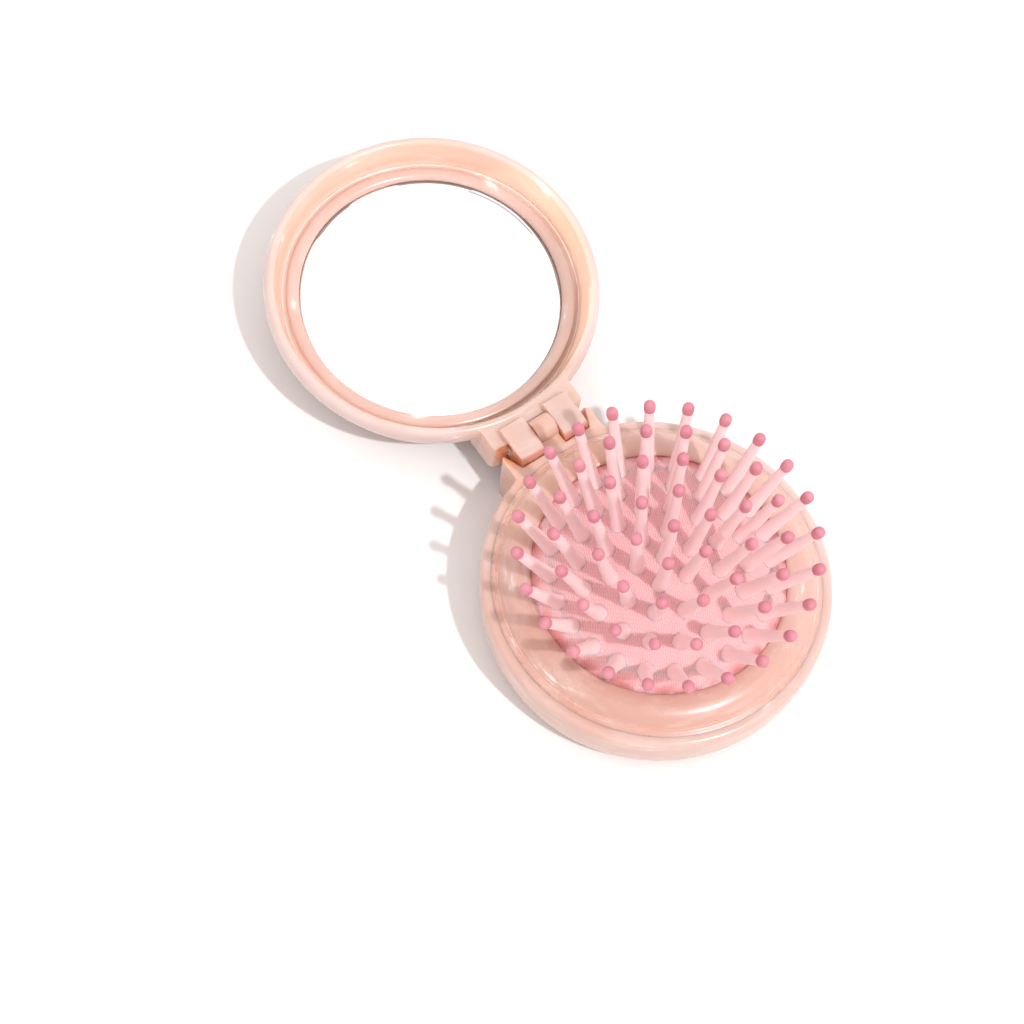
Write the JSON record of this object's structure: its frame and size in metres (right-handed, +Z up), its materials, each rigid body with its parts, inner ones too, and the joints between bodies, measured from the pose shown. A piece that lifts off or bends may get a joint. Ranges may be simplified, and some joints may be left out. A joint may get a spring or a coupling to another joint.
{
  "type": "folding hairbrush",
  "caption": "Round folding compact hairbrush: pop-up cushion with a fan of ball-tipped pins in the base, hinged lid with a round mirror.",
  "frame": {"origin": "on the floor straight below the hinge axis, halfway along the hinge", "axes": "+Z up; +Y from the base with the pins towards the open lid; +X along the hinge"},
  "size_m": [0.068, 0.1444, 0.0405],
  "materials": {
    "shell": "pearlescent marbled gloss, slightly translucent",
    "cushion": "fine-grained matt rubber",
    "pin": "satin, with a darker gloss ball tip",
    "mirror": "silvered glass with a polished bevel",
    "adhesive": "foam tape",
    "metal": "bright"
  },
  "bodies": {
    "base": {"base_shell": "shell", "pad_bezel": "shell", "cushion": "cushion", "hinge_pin": "metal"},
    "lid": {"lid_shell": "shell", "mirror_tray": "shell", "mirror_glass": "mirror", "mirror_adhesive": "adhesive"},
    "pusher": {"push_button": "shell", "pin_hub": "pin", "button_screw": "metal"},
    "pins2_01": {"pins_ring2_01": "pin"},
    "pins2_02": {"pins_ring2_02": "pin"},
    "pins2_03": {"pins_ring2_03": "pin"},
    "pins2_04": {"pins_ring2_04": "pin"},
    "pins2_05": {"pins_ring2_05": "pin"},
    "pins2_06": {"pins_ring2_06": "pin"},
    "pins3_01": {"pins_ring3_01": "pin"},
    "pins3_02": {"pins_ring3_02": "pin"},
    "pins3_03": {"pins_ring3_03": "pin"},
    "pins3_04": {"pins_ring3_04": "pin"},
    "pins3_05": {"pins_ring3_05": "pin"},
    "pins3_06": {"pins_ring3_06": "pin"},
    "pins3_07": {"pins_ring3_07": "pin"},
    "pins3_08": {"pins_ring3_08": "pin"},
    "pins3_09": {"pins_ring3_09": "pin"},
    "pins4_01": {"pins_ring4_01": "pin"},
    "pins4_02": {"pins_ring4_02": "pin"},
    "pins4_03": {"pins_ring4_03": "pin"},
    "pins4_04": {"pins_ring4_04": "pin"},
    "pins4_05": {"pins_ring4_05": "pin"},
    "pins4_06": {"pins_ring4_06": "pin"},
    "pins4_07": {"pins_ring4_07": "pin"},
    "pins4_08": {"pins_ring4_08": "pin"},
    "pins4_09": {"pins_ring4_09": "pin"},
    "pins4_10": {"pins_ring4_10": "pin"},
    "pins4_11": {"pins_ring4_11": "pin"},
    "pins4_12": {"pins_ring4_12": "pin"}
  },
  "joints": [
    {"name": "lid_hinge", "type": "hinge", "parent": "base", "child": "lid", "pos_m": [0, 0, 0.0143], "axis": [1, 0, 0], "range_deg": [0, 176.6]},
    {"name": "push_slide", "type": "slide", "parent": "base", "child": "pusher", "axis": [0, 0, 1], "range_m": [-0.0201, 0], "deforming": ["cushion"]},
    {"name": "tilt2_01", "type": "hinge", "parent": "base", "child": "pins2_01", "pos_m": [0.04134, 0.03516, 0.01229], "axis": [0.8712, -0.4909, 0], "range_deg": [0, 14.58]},
    {"name": "tilt2_02", "type": "hinge", "parent": "base", "child": "pins2_02", "pos_m": [-0.04286, 0.03428, 0.01229], "axis": [0.8607, 0.509, 0], "range_deg": [0, 14.58]},
    {"name": "tilt2_03", "type": "hinge", "parent": "base", "child": "pins2_03", "pos_m": [-0.0842, -0.03908, 0.01229], "axis": [-0.0105, 0.9999, 0], "range_deg": [0, 14.58]},
    {"name": "tilt2_04", "type": "hinge", "parent": "base", "child": "pins2_04", "pos_m": [-0.04134, -0.11156, 0.01229], "axis": [-0.8712, 0.4909, 0], "range_deg": [0, 14.58]},
    {"name": "tilt2_05", "type": "hinge", "parent": "base", "child": "pins2_05", "pos_m": [0.04286, -0.11068, 0.01229], "axis": [-0.8607, -0.509, 0], "range_deg": [0, 14.58]},
    {"name": "tilt2_06", "type": "hinge", "parent": "base", "child": "pins2_06", "pos_m": [0.0842, -0.03732, 0.01229], "axis": [0.0105, -0.9999, 0], "range_deg": [0, 14.58]},
    {"name": "tilt3_01", "type": "hinge", "parent": "base", "child": "pins3_01", "pos_m": [0.03436, 0.01198, 0.01173], "axis": [0.8251, -0.565, 0], "range_deg": [0, 21.32]},
    {"name": "tilt3_02", "type": "hinge", "parent": "base", "child": "pins3_02", "pos_m": [-0.00594, 0.02233, 0.01173], "axis": [0.9952, 0.0976, 0], "range_deg": [0, 21.32]},
    {"name": "tilt3_03", "type": "hinge", "parent": "base", "child": "pins3_03", "pos_m": [-0.04345, 0.00435, 0.01173], "axis": [0.6997, 0.7145, 0], "range_deg": [0, 21.32]},
    {"name": "tilt3_04", "type": "hinge", "parent": "base", "child": "pins3_04", "pos_m": [-0.06064, -0.03353, 0.01173], "axis": [0.0767, 0.9971, 0], "range_deg": [0, 21.32]},
    {"name": "tilt3_05", "type": "hinge", "parent": "base", "child": "pins3_05", "pos_m": [-0.04945, -0.0736, 0.01173], "axis": [-0.5821, 0.8131, 0], "range_deg": [0, 21.32]},
    {"name": "tilt3_06", "type": "hinge", "parent": "base", "child": "pins3_06", "pos_m": [-0.01512, -0.09711, 0.01173], "axis": [-0.9686, 0.2487, 0], "range_deg": [0, 21.32]},
    {"name": "tilt3_07", "type": "hinge", "parent": "base", "child": "pins3_07", "pos_m": [0.02628, -0.09305, 0.01173], "axis": [-0.9018, -0.4321, 0], "range_deg": [0, 21.32]},
    {"name": "tilt3_08", "type": "hinge", "parent": "base", "child": "pins3_08", "pos_m": [0.05539, -0.06332, 0.01173], "axis": [-0.4131, -0.9107, 0], "range_deg": [0, 21.32]},
    {"name": "tilt3_09", "type": "hinge", "parent": "base", "child": "pins3_09", "pos_m": [0.05858, -0.02184, 0.01173], "axis": [0.2689, -0.9632, 0], "range_deg": [0, 21.32]},
    {"name": "tilt4_01", "type": "hinge", "parent": "base", "child": "pins4_01", "pos_m": [0.02981, 0.0015, 0.01144], "axis": [0.7997, -0.6004, 0], "range_deg": [0, 28.05]},
    {"name": "tilt4_02", "type": "hinge", "parent": "base", "child": "pins4_02", "pos_m": [0.00596, 0.01108, 0.01144], "axis": [0.9928, -0.1201, 0], "range_deg": [0, 28.05]},
    {"name": "tilt4_03", "type": "hinge", "parent": "base", "child": "pins4_03", "pos_m": [-0.01948, 0.00746, 0.01144], "axis": [0.9198, 0.3923, 0], "range_deg": [0, 28.05]},
    {"name": "tilt4_04", "type": "hinge", "parent": "base", "child": "pins4_04", "pos_m": [-0.0397, -0.00839, 0.01144], "axis": [0.6004, 0.7997, 0], "range_deg": [0, 28.05]},
    {"name": "tilt4_05", "type": "hinge", "parent": "base", "child": "pins4_05", "pos_m": [-0.04929, -0.03224, 0.01144], "axis": [0.1201, 0.9928, 0], "range_deg": [0, 28.05]},
    {"name": "tilt4_06", "type": "hinge", "parent": "base", "child": "pins4_06", "pos_m": [-0.04566, -0.05768, 0.01144], "axis": [-0.3923, 0.9198, 0], "range_deg": [0, 28.05]},
    {"name": "tilt4_07", "type": "hinge", "parent": "base", "child": "pins4_07", "pos_m": [-0.02981, -0.0779, 0.01144], "axis": [-0.7997, 0.6004, 0], "range_deg": [0, 28.05]},
    {"name": "tilt4_08", "type": "hinge", "parent": "base", "child": "pins4_08", "pos_m": [-0.00596, -0.08748, 0.01144], "axis": [-0.9928, 0.1201, 0], "range_deg": [0, 28.05]},
    {"name": "tilt4_09", "type": "hinge", "parent": "base", "child": "pins4_09", "pos_m": [0.01948, -0.08386, 0.01144], "axis": [-0.9198, -0.3923, 0], "range_deg": [0, 28.05]},
    {"name": "tilt4_10", "type": "hinge", "parent": "base", "child": "pins4_10", "pos_m": [0.0397, -0.06801, 0.01144], "axis": [-0.6004, -0.7997, 0], "range_deg": [0, 28.05]},
    {"name": "tilt4_11", "type": "hinge", "parent": "base", "child": "pins4_11", "pos_m": [0.04929, -0.04416, 0.01144], "axis": [-0.1201, -0.9928, 0], "range_deg": [0, 28.05]},
    {"name": "tilt4_12", "type": "hinge", "parent": "base", "child": "pins4_12", "pos_m": [0.04566, -0.01872, 0.01144], "axis": [0.3923, -0.9198, 0], "range_deg": [0, 28.05]}
  ],
  "couplings": [
    {"joint": "push_slide", "follows": "lid_hinge", "m_per_rad": -0.0064888},
    {"joint": "tilt2_01", "follows": "lid_hinge", "ratio": 0.081974},
    {"joint": "tilt2_02", "follows": "lid_hinge", "ratio": 0.081974},
    {"joint": "tilt2_03", "follows": "lid_hinge", "ratio": 0.081974},
    {"joint": "tilt2_04", "follows": "lid_hinge", "ratio": 0.081974},
    {"joint": "tilt2_05", "follows": "lid_hinge", "ratio": 0.081974},
    {"joint": "tilt2_06", "follows": "lid_hinge", "ratio": 0.081974},
    {"joint": "tilt3_01", "follows": "lid_hinge", "ratio": 0.12013},
    {"joint": "tilt3_02", "follows": "lid_hinge", "ratio": 0.12013},
    {"joint": "tilt3_03", "follows": "lid_hinge", "ratio": 0.12013},
    {"joint": "tilt3_04", "follows": "lid_hinge", "ratio": 0.12013},
    {"joint": "tilt3_05", "follows": "lid_hinge", "ratio": 0.12013},
    {"joint": "tilt3_06", "follows": "lid_hinge", "ratio": 0.12013},
    {"joint": "tilt3_07", "follows": "lid_hinge", "ratio": 0.12013},
    {"joint": "tilt3_08", "follows": "lid_hinge", "ratio": 0.12013},
    {"joint": "tilt3_09", "follows": "lid_hinge", "ratio": 0.12013},
    {"joint": "tilt4_01", "follows": "lid_hinge", "ratio": 0.15829},
    {"joint": "tilt4_02", "follows": "lid_hinge", "ratio": 0.15829},
    {"joint": "tilt4_03", "follows": "lid_hinge", "ratio": 0.15829},
    {"joint": "tilt4_04", "follows": "lid_hinge", "ratio": 0.15829},
    {"joint": "tilt4_05", "follows": "lid_hinge", "ratio": 0.15829},
    {"joint": "tilt4_06", "follows": "lid_hinge", "ratio": 0.15829},
    {"joint": "tilt4_07", "follows": "lid_hinge", "ratio": 0.15829},
    {"joint": "tilt4_08", "follows": "lid_hinge", "ratio": 0.15829},
    {"joint": "tilt4_09", "follows": "lid_hinge", "ratio": 0.15829},
    {"joint": "tilt4_10", "follows": "lid_hinge", "ratio": 0.15829},
    {"joint": "tilt4_11", "follows": "lid_hinge", "ratio": 0.15829},
    {"joint": "tilt4_12", "follows": "lid_hinge", "ratio": 0.15829}
  ]
}
